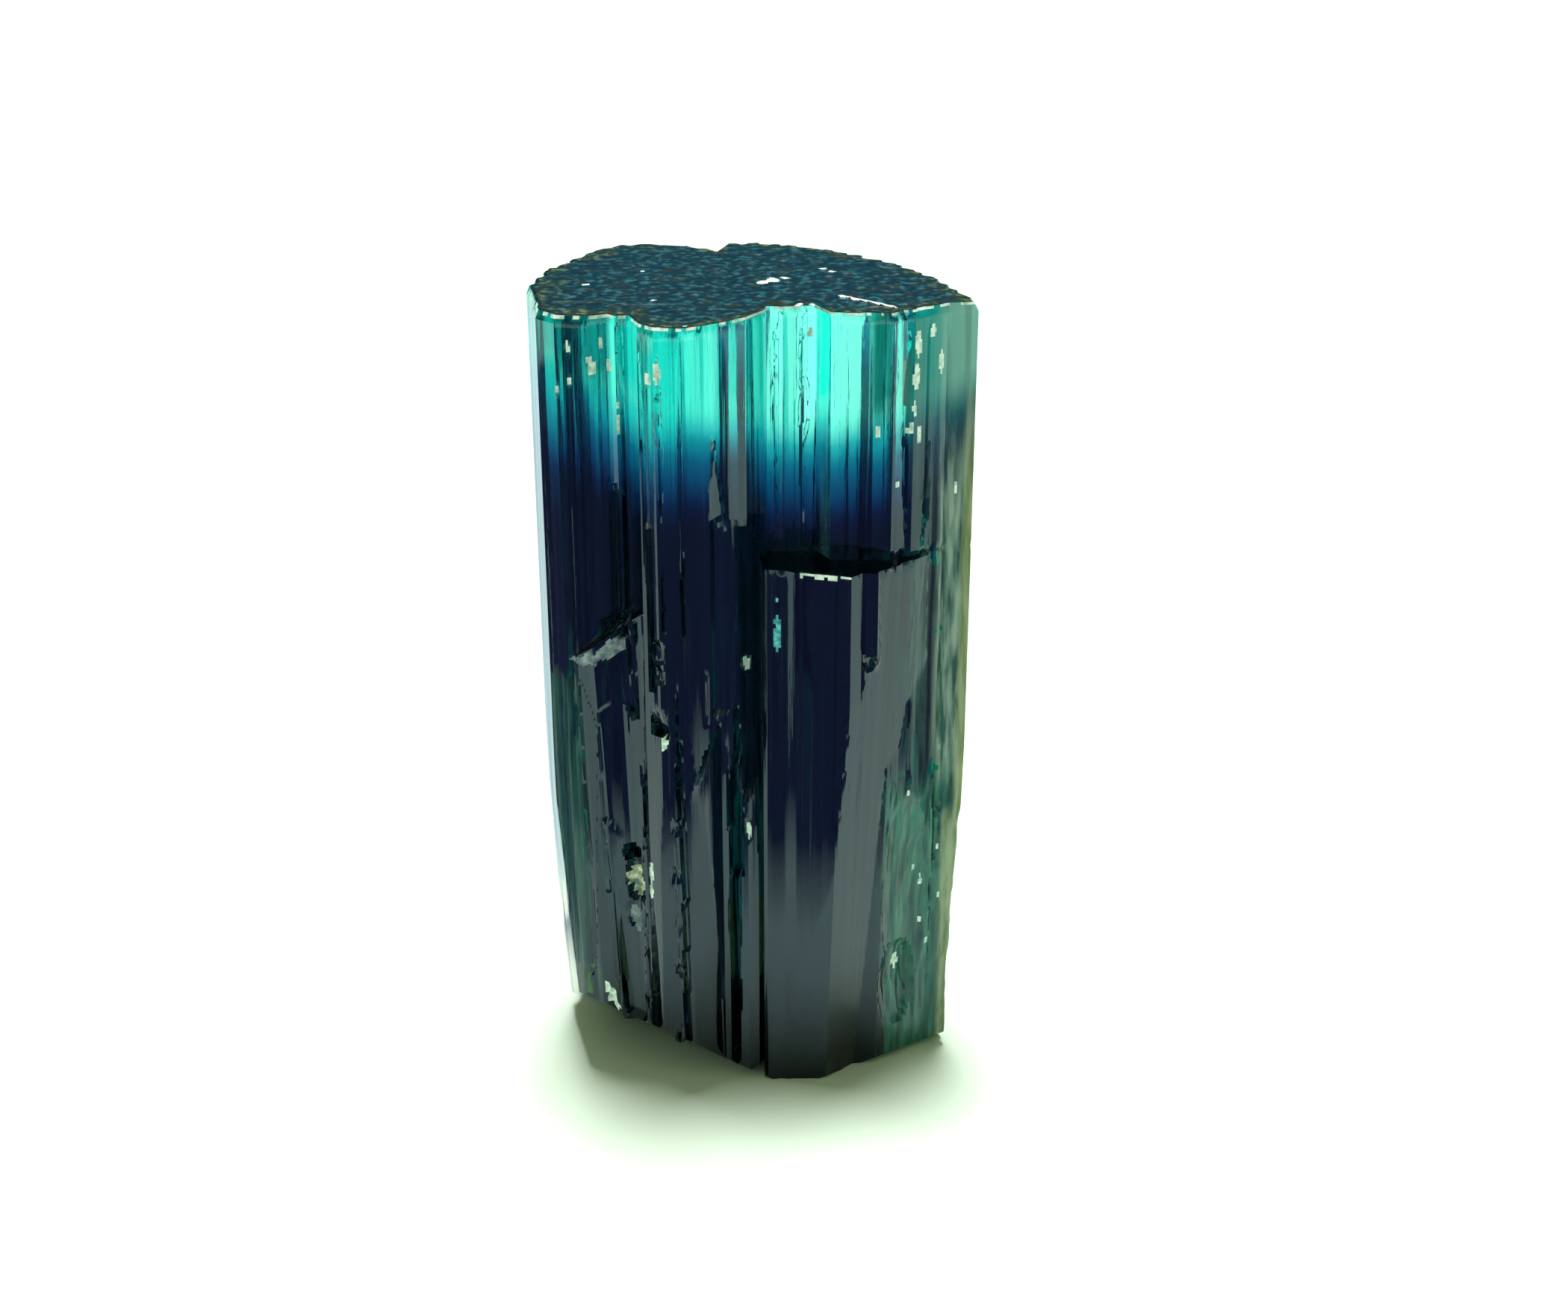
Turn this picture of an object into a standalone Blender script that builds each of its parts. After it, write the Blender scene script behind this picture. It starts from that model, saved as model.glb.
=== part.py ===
"""A stout blue-cap tourmaline crystal, standing upright on its broken base.

Run with: blender --background --python part.py

Plan shapes are written in millimetres about the growth axis, the long axis of the prism: +X to the right,
+Y to the back, +Z up. The finished solid stands in metres with the middle of its bounding box over the origin
and its flat resting area at z = 0.
"""

import math
import random

import bmesh
import bpy
from mathutils import Vector

# Driving dimensions, in millimetres
MM = 0.001
HEIGHT = 32.0
LEFT_REACH = 8.28
RIGHT_REACH = 8.55
FRONT_REACH = 5.83
BACK_REACH = 7.03

# The growth axis, measured from the middle of the bounding box
AXIS_X = (LEFT_REACH - RIGHT_REACH) / 2
AXIS_Y = (FRONT_REACH - BACK_REACH) / 2

# How wide the prism is at each height, as a share of its full outline
WIDTH_AT_HEIGHT = ((0.0, 0.955), (3.0, 0.962), (6.2, 0.972), (11.3, 0.996), (14.0, 1.0), (28.6, 1.0), (31.5, 0.985))
RIM_WIDTH = 0.972
TOP_FIELD = HEIGHT - 0.15

# The full outline, seen from above and followed anticlockwise from the left edge
LEFT_LOBE = (
    (-LEFT_REACH, 0.2),
    (-7.74, -2.6),
    (-7.62, -3.25),
    (-6.9, -4.0),
    (-5.7, -4.12),
    (-5.02, -3.86),
    (-4.7, -4.12),
    (-4.26, -4.02),
)
MIDDLE_LOBE = (
    (-3.85, -5.12),
    (-3.25, -5.68),
    (-2.25, -FRONT_REACH),
    (-1.5, -5.44),
    (-0.62, -4.83),
    (0.02, -4.28),
    (0.69, -3.28),
)
RIGHT_LOBE = (
    (0.76, -2.76),
    (1.36, -2.86),
    (2.05, -2.72),
    (2.73, -2.66),
    (3.19, -3.44),
    (3.84, -3.7),
    (5.08, -3.72),
    (5.5, -3.36),
    (5.87, -3.28),
    (6.82, -2.76),
    (7.55, -2.3),
    (8.3, -2.2),
    (RIGHT_REACH, -2.1),
)
BACK_RIGHT = (
    (RIGHT_REACH, -2.1),
    (8.4, -1.45),
    (8.0, -0.45),
    (7.2, 1.55),
    (5.9, 3.55),
    (4.5, 4.9),
    (3.1, 5.88),
    (1.6, 6.65),
    (0.15, BACK_REACH),
    (-0.83, 6.9),
)
BACK_NOTCH = (-1.29, 5.5)
BACK_LEFT = (
    (-1.79, 6.13),
    (-2.78, 6.51),
    (-4.27, 6.9),
    (-5.24, 6.64),
    (-6.15, 5.75),
    (-7.0, 4.27),
    (-7.83, 2.83),
    (-8.16, 1.32),
    (-LEFT_REACH, 0.2),
)

# Growth ribs on the back: each flat of the outline runs in at a shallow angle and steps out again
RIB_SEED = 11
RIB_DEPTH = (0.06, 0.3)
RIB_FLAT = 0.9
RIB_STEP = 0.16

# The side crystal on the front right ends in a flat ledge
LEDGE = 22.4
SIDE_OUTLINE = (
    (0.54, -2.6),
    (0.54, -4.55),
    (0.76, -4.7),
    (1.48, -4.85),
    (1.9, -5.0),
    (2.89, -5.2),
    (3.9, -5.45),
    (4.45, -5.18),
    (6.9, -5.18),
    (6.9, -2.2),
)
# Its broad right face is one plane, which leans under the crystal a little
SIDE_FACE_POINT = (3.85, -5.4, 16.0)
SIDE_FACE_NORMAL = (0.683, -0.73, -0.066)

SLIVER_OUTLINE = ((4.2, -4.6), (4.42, -5.5), (4.95, -5.5), (5.15, -4.9), (5.1, -4.3))
SLIVER_FOOT = 18.8
SLIVER_POINT = 0.55

# The blade on the lower left: its top breaks off along a diagonal, and its front leans in towards the base
BLADE_OUTLINE = (
    (-7.7, -2.2),
    (-6.45, -4.35),
    (-5.85, -4.74),
    (-4.85, -4.62),
    (-4.1, -4.95),
    (-3.6, -5.3),
    (-3.4, -3.2),
    (-7.0, -1.6),
)
BLADE_TOP = 20.3
BLADE_TOP_X = -4.5
BLADE_TOP_RISE = 0.78
BLADE_TOP_SLOPE_BACK = 0.8
BLADE_LEAN = 0.8

# Flat breaks that trim the whole crystal: a point on each and the way it faces
BREAKS = {
    "front_taper": ((-2.25, -FRONT_REACH, 16.0), (0.02, -1.0, -0.067)),
    "base_front_left": ((-2.65, -4.9, 2.1), (-0.54, -0.72, -1.0)),
    "base_left": ((-8.0, 0.0, 1.7), (-0.8, 0.1, -1.0)),
    "base_front_right": ((5.3, -4.5, 1.0), (0.44, -0.664, -1.0)),
    "base_right": ((8.31, -1.0, 2.0), (1.0, 0.1, -0.2)),
    "base_back": ((0.0, 6.8, 1.3), (0.16, 0.78, -1.0)),
    "base_back_right": ((6.0, 3.4, 0.9), (0.68, 0.6, -1.0)),
    "base_back_left": ((-6.5, 5.0, 1.1), (-0.56, 0.56, -1.0)),
}
BREAK_SIZE = 40.0

# Grooves and gaps in the front: their course (x, z, width) from the bottom up, and the depth that they reach
GROOVES = {
    "centre_gap": (-4.0, ((-0.55, -1.0, 0.26), (-0.5, 8.0, 0.24), (-0.48, 16.4, 0.05))),
    "left_gap": (-3.75, ((-4.12, -1.0, 0.26), (-4.1, 5.0, 0.2), (-4.1, 7.6, 0.05))),
    "ragged_gap": (
        -4.55,
        (
            (-2.7, -1.0, 0.3),
            (-2.85, 4.0, 0.34),
            (-2.75, 7.5, 0.26),
            (-3.0, 10.5, 0.4),
            (-2.95, 14.5, 0.3),
            (-3.05, 19.6, 0.06),
        ),
    ),
    "panel_gap": (-4.2, ((-2.35, 1.0, 0.1), (-2.3, 7.0, 0.22), (-2.3, 11.6, 0.04))),
}

# Hollows, each cut by a lump: its middle, half sizes and turn about Y in degrees
HOLLOWS = {
    "front_pit": ((-4.3, -5.0, 9.4), (0.52, 1.25, 1.75), 6.0),
    "right_hollow": ((6.35, -4.3, 7.6), (0.95, 1.5, 4.6), -5.0),
    "right_chip": ((6.0, -4.15, 3.6), (0.75, 1.15, 1.9), 12.0),
    "speck_pit": ((-0.2, -5.1, 18.0), (0.22, 0.75, 0.4), 20.0),
    "top_pit": ((0.35, -0.2, HEIGHT + 0.1), (0.9, 0.55, 0.55), 8.0),
    "back_pit": ((3.4, 6.2, 18.0), (0.6, 0.9, 2.4), 4.0),
    "back_scar": ((-4.9, 7.2, 8.0), (0.9, 0.8, 3.4), -6.0),
}
HOLLOW_ROUGHNESS = 0.12

# Low growth plates on the top face: their height and outline
PLATES = {
    "plate_left": (HEIGHT, ((-7.0, -1.2), (-5.9, -2.9), (-4.2, -3.1), (-2.9, -2.2), (-3.6, 1.6), (-6.2, 2.0))),
    "plate_middle": (HEIGHT - 0.05, ((-2.9, -4.6), (-1.6, -4.4), (-0.4, -3.2), (-0.9, 1.0), (-2.6, 1.4))),
    "plate_right": (HEIGHT - 0.04, ((2.0, -1.6), (4.6, -2.6), (6.6, -1.6), (5.9, 0.9), (3.2, 1.9), (1.5, 0.9))),
    "plate_back": (HEIGHT - 0.02, ((-3.2, 3.0), (0.6, 2.4), (3.4, 2.9), (2.2, 4.8), (-0.2, 5.6), (-3.0, 5.2))),
}
PLATE_ROOT = HEIGHT - 1.0


def clear_scene():
    for obj in list(bpy.data.objects):
        bpy.data.objects.remove(obj, do_unlink=True)


def placed(x, y, z):
    """A point given about the growth axis, in millimetres, as a point of the finished part in metres."""
    return Vector((AXIS_X + x, AXIS_Y + y, z)) * MM


def ribbed(flats, rng):
    """The outline's corners with a rib let into every flat: it runs in from the flat and steps out again."""
    points = []
    for (x0, y0), (x1, y1) in zip(flats, flats[1:]):
        points.append((x0, y0))
        length = math.hypot(x1 - x0, y1 - y0)
        ribs = max(1, round(length / RIB_FLAT))
        inward = Vector((-(y1 - y0), x1 - x0)) / length
        for rib in range(ribs):
            share = (rib + rng.uniform(0.3, 0.75)) / ribs
            depth = rng.uniform(*RIB_DEPTH)
            step = min(RIB_STEP / length, 0.25 / ribs)
            points.append((x0 + (x1 - x0) * share + inward.x * depth, y0 + (y1 - y0) * share + inward.y * depth))
            share += step
            points.append((x0 + (x1 - x0) * share, y0 + (y1 - y0) * share))
    return points


def full_outline():
    rng = random.Random(RIB_SEED)
    right = ribbed(BACK_RIGHT, rng)[1:]
    left = ribbed(BACK_LEFT, rng)
    return [*LEFT_LOBE, *MIDDLE_LOBE, *RIGHT_LOBE, *right, BACK_RIGHT[-1], BACK_NOTCH, *left]


def solid_from_rings(name, rings):
    """A closed object through rings of points, from the lowest up, with a flat cap at each end."""
    bm = bmesh.new()
    loops = [[bm.verts.new(placed(*point)) for point in ring] for ring in rings]
    count = len(loops[0])
    for lower, upper in zip(loops, loops[1:]):
        for i in range(count):
            j = (i + 1) % count
            bm.faces.new((lower[i], lower[j], upper[j], upper[i]))
    bm.faces.new(reversed(loops[0]))
    bm.faces.new(loops[-1])
    bmesh.ops.recalc_face_normals(bm, faces=bm.faces)
    mesh = bpy.data.meshes.new(name)
    bm.to_mesh(mesh)
    bm.free()
    obj = bpy.data.objects.new(name, mesh)
    bpy.context.scene.collection.objects.link(obj)
    return obj


def hide_as_helper(obj):
    obj.hide_render = True
    obj.display_type = "WIRE"
    return obj


def combine(body, other, operation):
    """A Boolean modifier that joins the other shape to the body, or takes it away."""
    hide_as_helper(other)
    modifier = body.modifiers.new(f"{operation.lower()} {other.name}", "BOOLEAN")
    modifier.operation = operation
    modifier.solver = "EXACT"
    modifier.object = other


def crystal_material():
    material = bpy.data.materials.new("tourmaline")
    material.use_nodes = True
    shader = material.node_tree.nodes["Principled BSDF"]
    shader.inputs["Base Color"].default_value = (0.012, 0.03, 0.06, 1.0)
    shader.inputs["Roughness"].default_value = 0.08
    shader.inputs["Metallic"].default_value = 0.0
    shader.inputs["IOR"].default_value = 1.63
    return material


def prism():
    """The main crystal: its outline stacked up at each height, drawn in at the rim of the top."""
    outline = full_outline()
    levels = [*WIDTH_AT_HEIGHT, (TOP_FIELD, RIM_WIDTH)]
    rings = [[(x * share, y * share, z) for x, y in outline] for z, share in levels]
    return solid_from_rings("tourmaline_crystal", rings)


def side_crystal():
    """The smaller crystal on the front right, with its broad leaning face cut by a plane of its own."""
    crystal = solid_from_rings("side_crystal", [[(x, y, z) for x, y in SIDE_OUTLINE] for z in (0.0, LEDGE)])
    combine(crystal, break_block("side_face", SIDE_FACE_POINT, SIDE_FACE_NORMAL), "DIFFERENCE")
    return crystal


def sliver():
    """A thin leftover of growth beside the side crystal's broad face, sharpened to a point below."""
    middle_x = sum(x for x, _ in SLIVER_OUTLINE) / len(SLIVER_OUTLINE)
    foot = [
        (middle_x + (x - middle_x) * SLIVER_POINT, y + (1.0 - SLIVER_POINT) * 0.9, SLIVER_FOOT)
        for x, y in SLIVER_OUTLINE
    ]
    return solid_from_rings("sliver", [foot, [(x, y, LEDGE - 0.03) for x, y in SLIVER_OUTLINE]])


def blade():
    """The lower left blade, from the base up to its diagonal broken top."""
    foot = [(x, y + BLADE_LEAN, 0.0) for x, y in BLADE_OUTLINE]
    front = min(y for _, y in BLADE_OUTLINE)
    top = [
        (x, y, BLADE_TOP + BLADE_TOP_RISE * (x - BLADE_TOP_X) + BLADE_TOP_SLOPE_BACK * (y - front))
        for x, y in BLADE_OUTLINE
    ]
    return solid_from_rings("lower_left_blade", [foot, top])


def growth_plate(name, height, outline):
    return solid_from_rings(name, [[(x, y, z) for x, y in outline] for z in (PLATE_ROOT, height)])


def break_block(name, point, normal):
    """A block with one face on the break's plane, covering what lies beyond it."""
    bm = bmesh.new()
    bmesh.ops.create_cube(bm, size=BREAK_SIZE * MM)
    bmesh.ops.translate(bm, verts=bm.verts, vec=(0.0, 0.0, BREAK_SIZE / 2 * MM))
    mesh = bpy.data.meshes.new(name)
    bm.to_mesh(mesh)
    bm.free()
    obj = bpy.data.objects.new(name, mesh)
    obj.location = placed(*point)
    obj.rotation_euler = Vector(normal).to_track_quat("Z", "Y").to_euler()
    bpy.context.scene.collection.objects.link(obj)
    return obj


def groove_cutter(name, depth, course):
    """A wedge whose sharp edge runs inside the front of the crystal, along the groove's course."""
    front = -FRONT_REACH - 1.0
    spread = (depth - front) / (depth + FRONT_REACH)
    rings = [
        ((x - width / 2 * spread, front, z), (x + width / 2 * spread, front, z), (x, depth, z))
        for x, z, width in course
    ]
    return solid_from_rings(name, rings)


def hollow_cutter(name, middle, half_sizes, turn, rng):
    """A rough lump: a subdivided ball, stretched, turned about Y and dented at random."""
    bm = bmesh.new()
    bmesh.ops.create_icosphere(bm, subdivisions=2, radius=1.0)
    for vert in bm.verts:
        vert.co *= 1.0 + rng.uniform(-HOLLOW_ROUGHNESS, HOLLOW_ROUGHNESS)
        vert.co = Vector([a * size * MM for a, size in zip(vert.co, half_sizes)])
    mesh = bpy.data.meshes.new(name)
    bm.to_mesh(mesh)
    bm.free()
    obj = bpy.data.objects.new(name, mesh)
    obj.location = placed(*middle)
    obj.rotation_euler = (0.0, math.radians(turn), 0.0)
    bpy.context.scene.collection.objects.link(obj)
    return obj


def build():
    clear_scene()
    body = prism()
    body.data.materials.append(crystal_material())
    for grown in (side_crystal(), sliver(), blade()):
        combine(body, grown, "UNION")
    for name, (height, outline) in PLATES.items():
        combine(body, growth_plate(name, height, outline), "UNION")
    for name, (depth, course) in GROOVES.items():
        combine(body, groove_cutter(name, depth, course), "DIFFERENCE")
    rng = random.Random(RIB_SEED)
    for name, (middle, half_sizes, turn) in HOLLOWS.items():
        combine(body, hollow_cutter(name, middle, half_sizes, turn, rng), "DIFFERENCE")
    for name, (point, normal) in BREAKS.items():
        combine(body, break_block(name, point, normal), "DIFFERENCE")


build()
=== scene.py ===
# %% [markdown]
# # A blue-cap tourmaline, standing on its broken base
# Tourmaline grows as long prisms whose sides are ruled with fine upright lines. This one is stout, clear teal in a
# band under its flat top, and so deep an indigo below the band that it looks black. We dress the plain solid with a
# skin that has the fine lines, breaks and pits, and with one clear, coloured material.

# %% Load the plain solid
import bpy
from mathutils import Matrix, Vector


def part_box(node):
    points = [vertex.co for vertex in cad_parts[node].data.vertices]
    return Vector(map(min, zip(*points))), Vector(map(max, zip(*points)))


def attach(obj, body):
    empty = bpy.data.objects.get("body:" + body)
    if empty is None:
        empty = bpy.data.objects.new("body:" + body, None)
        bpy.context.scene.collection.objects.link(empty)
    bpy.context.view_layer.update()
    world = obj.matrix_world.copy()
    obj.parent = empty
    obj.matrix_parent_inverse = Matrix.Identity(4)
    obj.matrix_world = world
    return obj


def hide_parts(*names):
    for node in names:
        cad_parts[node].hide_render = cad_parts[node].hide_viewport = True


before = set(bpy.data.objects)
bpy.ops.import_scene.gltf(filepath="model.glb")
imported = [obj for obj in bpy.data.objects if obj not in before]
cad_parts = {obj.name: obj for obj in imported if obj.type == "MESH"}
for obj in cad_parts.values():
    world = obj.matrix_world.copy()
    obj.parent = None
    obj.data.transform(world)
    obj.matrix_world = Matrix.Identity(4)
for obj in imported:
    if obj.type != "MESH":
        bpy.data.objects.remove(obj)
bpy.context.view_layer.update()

# %% Tools that the cells share
import functools
import math
import random

import bpy
import numpy as np

MM = 0.001
HEIGHT = 32.0
LEFT_REACH = 8.28
RIGHT_REACH = 8.55
FRONT_REACH = 5.83
BACK_REACH = 7.03
node_low, node_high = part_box("tourmaline_crystal")
AXIS_X = node_high.x / MM - RIGHT_REACH
AXIS_Y = node_high.y / MM - BACK_REACH
print("growth axis, mm from the middle of the box:", round(AXIS_X, 3), round(AXIS_Y, 3))

# %% [markdown]
# ## The camera
# The photograph looks down on the crystal from close by, so upright edges lean together towards the bottom. A camera
# about three crystal heights away, tipped down 23.5 degrees, gives the same lean. We set it up first, because every
# later choice is judged through it.

# %% Camera
FRAME_WIDTH_PX = 2100
FOCAL_PX = 3150.0
SENSOR_MM = 36.0
CAMERA_TILT = math.radians(23.5)
CAMERA_DISTANCE = 2.93 * HEIGHT
AIM = (1.4, 0.0, HEIGHT / 2 + 1.15)


def new_object(name, data):
    """A new object around its data, linked into the scene."""
    made = bpy.data.objects.new(name, data)
    bpy.context.scene.collection.objects.link(made)
    return made


# The camera stands its distance back from the aim point, along a line tipped down by its tilt.
lens = bpy.data.cameras.new("photo_camera")
lens.sensor_width = SENSOR_MM
lens.lens = FOCAL_PX / FRAME_WIDTH_PX * SENSOR_MM
lens.clip_start = 5 * MM
lens.clip_end = 20.0
camera = new_object("photo_camera", lens)
back = CAMERA_DISTANCE * math.cos(CAMERA_TILT)
above = CAMERA_DISTANCE * math.sin(CAMERA_TILT)
camera.location = ((AXIS_X + AIM[0]) * MM, (AXIS_Y + AIM[1] - back) * MM, (AIM[2] + above) * MM)
camera.rotation_euler = (math.pi / 2 - CAMERA_TILT, 0.0, 0.0)
bpy.context.scene.camera = camera
print("lens", lens.lens, "mm, camera", [round(1000 * c, 1) for c in camera.location], "mm")

# %% [markdown]
# ## Putting arrays into meshes
# Every shape below is worked out as whole numpy arrays of points on a grid. One helper turns such a grid into a mesh:
# neighbouring points in the grid become the corners of four-sided faces, and the columns close round on themselves.


# %% Grid to mesh
def grid_faces(rows, columns, closed):
    """Corner numbers of the faces between row i and i + 1 and column j and j + 1, for points numbered row by row."""
    numbers = np.arange(rows * columns).reshape(rows, columns)
    if closed:
        numbers = np.concatenate([numbers, numbers[:, :1]], axis=1)
    corners = [numbers[:-1, :-1], numbers[:-1, 1:], numbers[1:, 1:], numbers[1:, :-1]]
    return np.stack(corners, axis=-1).reshape(-1, 4)


def mesh_object(name, points, faces):
    """A new object from an array of points in metres and a list of arrays of faces."""
    mesh = bpy.data.meshes.new(name)
    mesh.from_pydata(points.tolist(), [], [face for group in faces for face in group.tolist()])
    mesh.validate()
    mesh.update()
    return new_object(name, mesh)


def stacked(x, y, z):
    """Points from arrays of x, y and z, each stretched to the shape of the largest."""
    return np.stack(np.broadcast_arrays(x, y, z), axis=-1)


# %% [markdown]
# ## The outline from above
# Seen from the top the crystal is not a neat triangle: three lobes grew together at the front, and the back is a
# dome with one deep notch. The corners are listed one by one. On the back the growth ribs are added by a rule: each
# flat runs in at a shallow angle and steps out again.

# %% Outline
LEFT_LOBE = (
    (-LEFT_REACH, 0.2), (-7.74, -2.6), (-7.62, -3.25), (-6.9, -4), (-5.7, -4.12), (-5.02, -3.86),
    (-4.7, -4.12), (-4.26, -4.02),
)
MIDDLE_LOBE = (
    (-3.85, -5.12), (-3.25, -5.68), (-2.25, -FRONT_REACH), (-1.5, -5.44), (-0.62, -4.83), (0.02, -4.28),
    (0.69, -3.28),
)
RIGHT_LOBE = (
    (0.76, -2.76), (1.36, -2.86), (2.05, -2.72), (2.73, -2.66), (3.12, -3.6), (3.84, -3.7), (5.42, -3.74),
    (5.9, -3.33), (6.2, -3.24), (6.82, -2.76), (7.55, -2.3), (8.3, -2.2), (RIGHT_REACH, -2.1),
)
BACK_RIGHT = (
    (RIGHT_REACH, -2.1), (8.4, -1.45), (8, -0.45), (7.2, 1.55), (5.9, 3.55), (4.5, 4.9), (3.1, 5.88),
    (1.6, 6.65), (0.15, BACK_REACH), (-0.83, 6.9),
)
BACK_NOTCH = (-1.29, 5.5)
BACK_LEFT = (
    (-1.79, 6.13), (-2.78, 6.51), (-4.27, 6.9), (-5.24, 6.64), (-6.15, 5.75), (-7, 4.27), (-7.83, 2.83),
    (-8.16, 1.32), (-LEFT_REACH, 0.2),
)
RIB_SEED = 11
RIB_DEPTH = (0.06, 0.3)
RIB_FLAT = 0.9
RIB_STEP = 0.16
RIB_PLACE = (0.3, 0.75)


def ribbed(flats, rng):
    """The corners with ribs let in: each rib leaves the flat at a slant, reaches its depth and steps out again."""
    points = []
    for (x0, y0), (x1, y1) in zip(flats, flats[1:]):
        points.append((x0, y0))
        length = math.hypot(x1 - x0, y1 - y0)
        ribs = max(1, round(length / RIB_FLAT))
        inward = (-(y1 - y0) / length, (x1 - x0) / length)
        for rib in range(ribs):
            share = (rib + rng.uniform(*RIB_PLACE)) / ribs
            depth = rng.uniform(*RIB_DEPTH)
            foot_x, foot_y = x0 + (x1 - x0) * share, y0 + (y1 - y0) * share
            points.append((foot_x + inward[0] * depth, foot_y + inward[1] * depth))
            share += min(RIB_STEP / length, 0.25 / ribs)
            points.append((x0 + (x1 - x0) * share, y0 + (y1 - y0) * share))
    return points


rib_draws = random.Random(RIB_SEED)
back_right = ribbed(BACK_RIGHT, rib_draws)[1:]
back_left = ribbed(BACK_LEFT, rib_draws)
OUTLINE = np.array([*LEFT_LOBE, *MIDDLE_LOBE, *RIGHT_LOBE, *back_right, BACK_RIGHT[-1], BACK_NOTCH, *back_left])
print("outline corners:", len(OUTLINE))

# %% [markdown]
# ## Reaching out from a core line
# All the walls can be seen from one upright line inside the crystal, the core line. So the whole side surface is one
# number for each direction and height: how far the stone reaches. A polygon, a leaning plane and a groove each give
# such a reach, and the crystal is made by taking the larger or the smaller of them.

# %% Reach of a polygon
CORE = np.array((0.4, 2.0))
FAR = 99.0


def polygon_reach(corners, heading):
    """Distance from the core line to the polygon's outermost wall, for each heading.

    A ray from the core crosses the wall from a to b at t = cross(a - core, b - a) / cross(ray, b - a), and the
    crossing counts where its share along the wall, cross(a - core, ray) / cross(ray, b - a), lies from 0 to 1.
    """
    ray_x = np.cos(heading)[:, None]
    ray_y = np.sin(heading)[:, None]
    start = corners - CORE
    run = np.roll(corners, -1, axis=0) - corners
    across = ray_x * run[:, 1] - ray_y * run[:, 0]
    across = np.where(np.abs(across) < 1e-9, 1e-9, across)
    distance = (start[:, 0] * run[:, 1] - start[:, 1] * run[:, 0]) / across
    share = (start[:, 0] * ray_y - start[:, 1] * ray_x) / across
    hit = (share > -1e-6) & (share < 1 + 1e-6) & (distance > 0)
    return np.where(hit, distance, 0.0).max(axis=1)


# %% [markdown]
# ## Columns of points
# Edges stay sharp only where a column of points runs along them, so every corner of the outline gets a column of its
# own. The rest are spread out, close together at the front, where the photograph shows each line, and wider at the
# back.

# %% Headings of the columns
SIDE_OUTLINE = np.array((
    (0.54, -2.6), (0.54, -4.55), (0.76, -4.7), (1.48, -4.85), (1.9, -5.0), (2.89, -5.2), (3.9, -5.45),
    (4.32, -5.06), (6.9, -5.0), (6.9, -2.2),
))
SLIVER = np.array(((4.2, -4.6), (4.36, -5.04), (4.92, -5.1), (5.0, -4.75), (5.1, -4.3)))
BLADE_OUTLINE = np.array((
    (-7.7, -2.2), (-6.45, -4.35), (-5.85, -4.74), (-4.85, -4.62), (-4.1, -4.95), (-3.6, -5.3), (-3.4, -3.2),
    (-7.0, -1.6),
))
# Widest gaps in mm, the sine below which a heading is at the front, and the least turn in radians.
FRONT_GAP = 0.068
BACK_GAP = 0.195
FRONT_SINE = -0.25
LEAST_TURN = 0.004 / 6


def heading_of(x, y):
    """Heading of a place as seen from the core line, in radians."""
    return np.arctan2(y - CORE[1], x - CORE[0])


def column_headings():
    """Headings from -pi to pi: the corners' own, with evenly spaced ones between wherever the gap is too wide."""
    corners = np.concatenate([OUTLINE, SIDE_OUTLINE[1:8], SLIVER[1:4], BLADE_OUTLINE[:6]])
    fixed = np.unique(np.round(heading_of(*corners.T), 5))
    fixed = fixed[np.concatenate([[True], np.diff(fixed) > LEAST_TURN])]
    ends = np.concatenate([fixed[1:], [fixed[0] + 2 * math.pi]])
    middle = (fixed + ends) / 2
    reach = polygon_reach(OUTLINE, middle)
    wanted = np.where(np.sin(middle) < FRONT_SINE, FRONT_GAP, BACK_GAP)
    pieces = np.maximum(1, np.ceil((ends - fixed) * reach / wanted)).astype(int)
    spread = [np.linspace(a, b, n, endpoint=False) for a, b, n in zip(fixed, ends, pieces)]
    return np.concatenate(spread)


HEADING = column_headings()
RAY_X = np.cos(HEADING)
RAY_Y = np.sin(HEADING)
AROUND = HEADING / (2 * math.pi) + 0.5
print("columns:", len(HEADING))

# %% [markdown]
# ## Noise on a lattice
# Broken stone is never even. We draw random numbers on a coarse lattice and blend between them, which gives bumps of
# a known size. The first direction wraps round, so that there is no seam in the skin.


# %% Lattice noise
def lattice_noise(across, along, cells, seed):
    """Random numbers from -1 to 1 on a lattice, blended with the smooth weight 3w^2 - 2w^3 between lattice points.

    across runs from 0 to 1 and wraps; along, an array or one number, is measured in cells.
    """
    rng = np.random.default_rng(seed)
    rows = int(np.ceil(np.max(along))) + 2
    values = rng.uniform(-1, 1, (rows, cells))
    u = (across % 1.0) * cells
    i = np.floor(u).astype(int) % cells
    j = np.floor(along).astype(int)
    wu = u - np.floor(u)
    wv = along - j
    wu = wu * wu * (3 - 2 * wu)
    wv = wv * wv * (3 - 2 * wv)
    low = values[j, i] * (1 - wu) + values[j, (i + 1) % cells] * wu
    high = values[j + 1, i] * (1 - wu) + values[j + 1, (i + 1) % cells] * wu
    return low * (1 - wv) + high * wv


def noise_layers(layers, z):
    """Sum of lattice noises on the wall, each with its size, cells around, length up and seed."""
    return sum(size * lattice_noise(AROUND, z / length, cells, seed) for size, cells, length, seed in layers)


# %% [markdown]
# ## The broken underside
# The crystal snapped off its matrix in a few flat breaks, which lift its left corner and its front edges off the
# table. The underside is therefore the highest of several leaning planes, and never lower than the table.

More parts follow.
